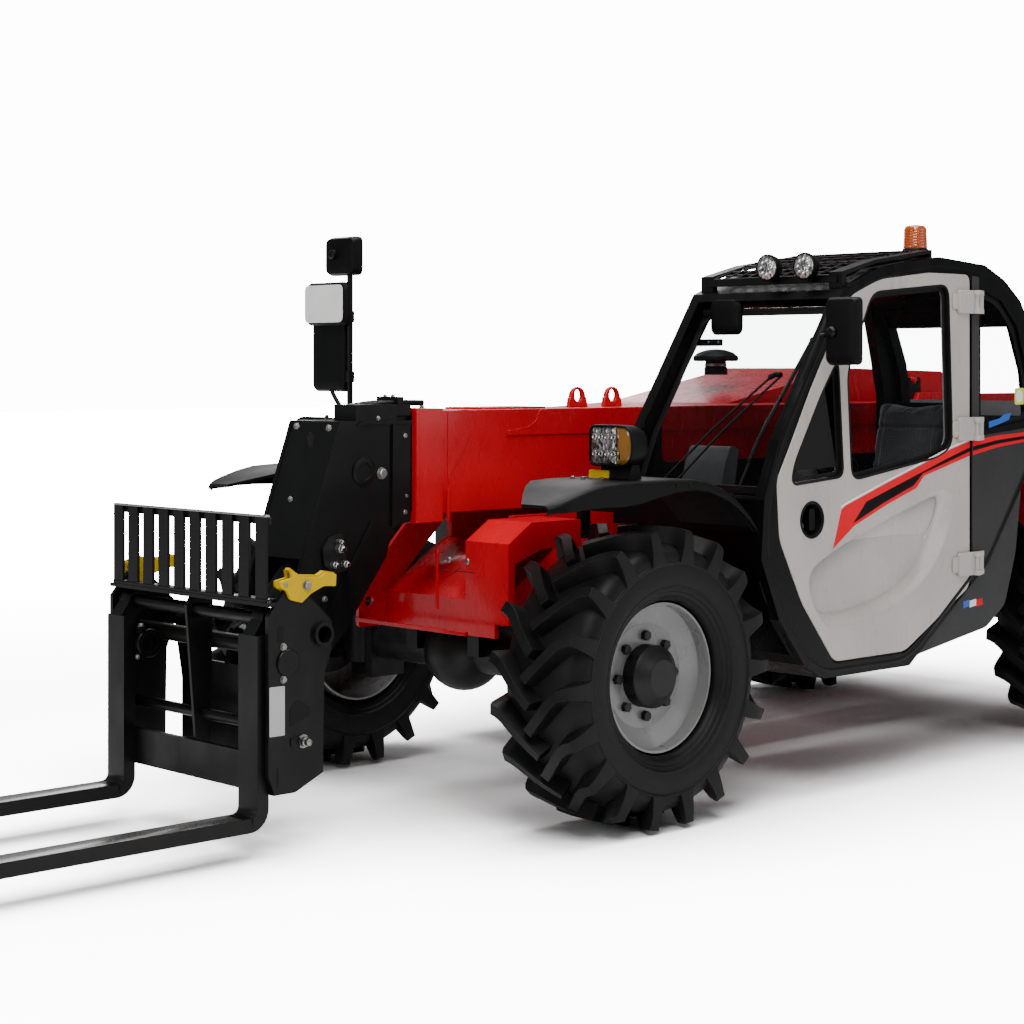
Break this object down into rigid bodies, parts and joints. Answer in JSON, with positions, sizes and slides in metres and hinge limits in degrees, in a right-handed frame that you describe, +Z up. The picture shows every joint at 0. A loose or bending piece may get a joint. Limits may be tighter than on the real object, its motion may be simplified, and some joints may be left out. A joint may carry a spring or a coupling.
{
  "type": "telehandler",
  "caption": "Compact telescopic handler with side cab, right-hand engine hood, telescopic boom, tilting fork carriage and four steered wheels on lugged tyres.",
  "frame": {"origin": "on the ground below the middle of the overall box", "axes": "+X forward along the boom, +Y to the operator's left (cab side), +Z up"},
  "size_m": [6.01, 2.285, 2.09],
  "materials": {
    "red_paint": "glossy machine enamel",
    "black_paint": "satin black paint",
    "dark_grey_paint": "satin dark grey paint",
    "door_paint": "warm light grey gloss paint",
    "rim_paint": "light grey paint",
    "yellow_paint": "yellow enamel",
    "black_casting": "black painted casting",
    "chrome_rod": "hard chrome",
    "black_plastic": "black moulded plastic",
    "grey_plastic": "dark grey moulded plastic",
    "tinted_glass": "tinted safety glass",
    "lamp_glass": "clear lamp lens",
    "beacon_amber": "amber lens",
    "seat_cover": "black vinyl",
    "tyre_rubber": "black rubber"
  },
  "bodies": {
    "chassis": {"chassis_frame": "red_paint", "frame_members": "red_paint", "outriggers": "black_paint", "hood_hinge_posts": "black_paint", "front_nose": "red_paint", "axle_beams": "black_casting", "counterweights": "dark_grey_paint", "tow_hitch": "black_paint", "cab_frame": "black_paint", "cab_windows": "tinted_glass", "door_hinges": "door_paint", "roof_guard": "black_paint", "lamps": "lamp_glass", "beacon": "beacon_amber", "mirrors": "black_plastic", "engine_bay": "black_paint", "engine_block": "black_casting", "rear_cowl": "grey_plastic", "fenders": "black_plastic", "seat": "seat_cover", "controls": "black_plastic"},
    "boom": {"outer_boom": "red_paint", "lifting_eyes": "black_paint"},
    "telescope": {"inner_boom": "black_paint", "boom_head": "black_paint"},
    "carriage": {"tool_carrier": "black_paint", "fork_frame": "black_paint", "load_guard": "black_paint", "forks": "black_paint", "latches": "yellow_paint"},
    "lift_cylinder": {"lift_barrel": "black_paint"},
    "lift_piston": {"lift_rod": "chrome_rod"},
    "tilt_cylinder": {"tilt_barrel": "black_paint"},
    "tilt_piston": {"tilt_rod": "chrome_rod"},
    "door": {"door_shell": "door_paint", "door_glass": "tinted_glass"},
    "engine_hood": {"hood": "red_paint"},
    "front_left_steering": {"front_left_knuckle": "black_casting"},
    "front_left_wheel": {"front_left_hub": "black_casting", "front_left_rim": "rim_paint", "front_left_tyre": "tyre_rubber"},
    "front_right_steering": {"front_right_knuckle": "black_casting"},
    "front_right_wheel": {"front_right_hub": "black_casting", "front_right_rim": "rim_paint", "front_right_tyre": "tyre_rubber"},
    "rear_left_steering": {"rear_left_knuckle": "black_casting"},
    "rear_left_wheel": {"rear_left_hub": "black_casting", "rear_left_rim": "rim_paint", "rear_left_tyre": "tyre_rubber"},
    "rear_right_steering": {"rear_right_knuckle": "black_casting"},
    "rear_right_wheel": {"rear_right_hub": "black_casting", "rear_right_rim": "rim_paint", "rear_right_tyre": "tyre_rubber"}
  },
  "joints": [
    {"name": "boom_lift", "type": "hinge", "parent": "chassis", "child": "boom", "pos_m": [-2.595, -0.04, 1.3], "axis": [0, -1, 0], "range_deg": [0, 65]},
    {"name": "boom_extend", "type": "slide", "parent": "boom", "child": "telescope", "axis": [1, 0, 0], "range_m": [0, 2.3]},
    {"name": "carriage_tilt", "type": "hinge", "parent": "telescope", "child": "carriage", "pos_m": [1.485, -0.04, 0.45], "axis": [0, -1, 0], "range_deg": [-114, 12]},
    {"name": "lift_barrel_swing", "type": "hinge", "parent": "chassis", "child": "lift_cylinder", "pos_m": [-2.195, -0.04, 0.71], "axis": [0, -1, 0], "range_deg": [-1, 63.45]},
    {"name": "lift_rod_slide", "type": "slide", "parent": "lift_cylinder", "child": "lift_piston", "axis": [0.9797, 0, 0.2006], "range_m": [-0.01, 0.72675]},
    {"name": "tilt_barrel_swing", "type": "hinge", "parent": "telescope", "child": "tilt_cylinder", "pos_m": [1.075, -0.04, 1.165], "axis": [0, -1, 0], "range_deg": [-12, 12]},
    {"name": "tilt_rod_slide", "type": "slide", "parent": "tilt_cylinder", "child": "tilt_piston", "axis": [0.6313, 0, -0.7756], "range_m": [-0.06, 0.36]},
    {"name": "door_swing", "type": "hinge", "parent": "chassis", "child": "door", "pos_m": [-1.182, 0.99, 1.2], "axis": [0, 0, 1], "range_deg": [0, 100]},
    {"name": "hood_lift", "type": "hinge", "parent": "chassis", "child": "engine_hood", "pos_m": [-2.245, -0.234, 1.48], "axis": [-1, 0, 0], "range_deg": [0, 55]},
    {"name": "front_left_steer", "type": "hinge", "parent": "chassis", "child": "front_left_steering", "pos_m": [0.555, 0.62, 0.505], "axis": [0, 0, 1], "range_deg": [-33, 33]},
    {"name": "front_left_spin", "type": "hinge", "parent": "front_left_steering", "child": "front_left_wheel", "pos_m": [0.555, 0.805, 0.505], "axis": [0, 1, 0], "continuous": true},
    {"name": "front_right_steer", "type": "hinge", "parent": "chassis", "child": "front_right_steering", "pos_m": [0.555, -0.62, 0.505], "axis": [0, 0, 1], "range_deg": [-33, 33]},
    {"name": "front_right_spin", "type": "hinge", "parent": "front_right_steering", "child": "front_right_wheel", "pos_m": [0.555, -0.805, 0.505], "axis": [0, 1, 0], "continuous": true},
    {"name": "rear_left_steer", "type": "hinge", "parent": "chassis", "child": "rear_left_steering", "pos_m": [-2.265, 0.62, 0.505], "axis": [0, 0, 1], "range_deg": [-33, 33]},
    {"name": "rear_left_spin", "type": "hinge", "parent": "rear_left_steering", "child": "rear_left_wheel", "pos_m": [-2.265, 0.805, 0.505], "axis": [0, 1, 0], "continuous": true},
    {"name": "rear_right_steer", "type": "hinge", "parent": "chassis", "child": "rear_right_steering", "pos_m": [-2.265, -0.62, 0.505], "axis": [0, 0, 1], "range_deg": [-33, 33]},
    {"name": "rear_right_spin", "type": "hinge", "parent": "rear_right_steering", "child": "rear_right_wheel", "pos_m": [-2.265, -0.805, 0.505], "axis": [0, 1, 0], "continuous": true}
  ],
  "couplings": [
    {"joint": "lift_barrel_swing", "follows": "boom_lift", "ratio": 0.96076},
    {"joint": "lift_rod_slide", "follows": "boom_lift", "m_per_rad": 0.6318},
    {"joint": "tilt_barrel_swing", "follows": "carriage_tilt", "ratio": 0.01404},
    {"joint": "tilt_rod_slide", "follows": "carriage_tilt", "m_per_rad": -0.16832},
    {"joint": "front_right_steer", "follows": "front_left_steer", "ratio": 1},
    {"joint": "rear_right_steer", "follows": "rear_left_steer", "ratio": 1}
  ]
}
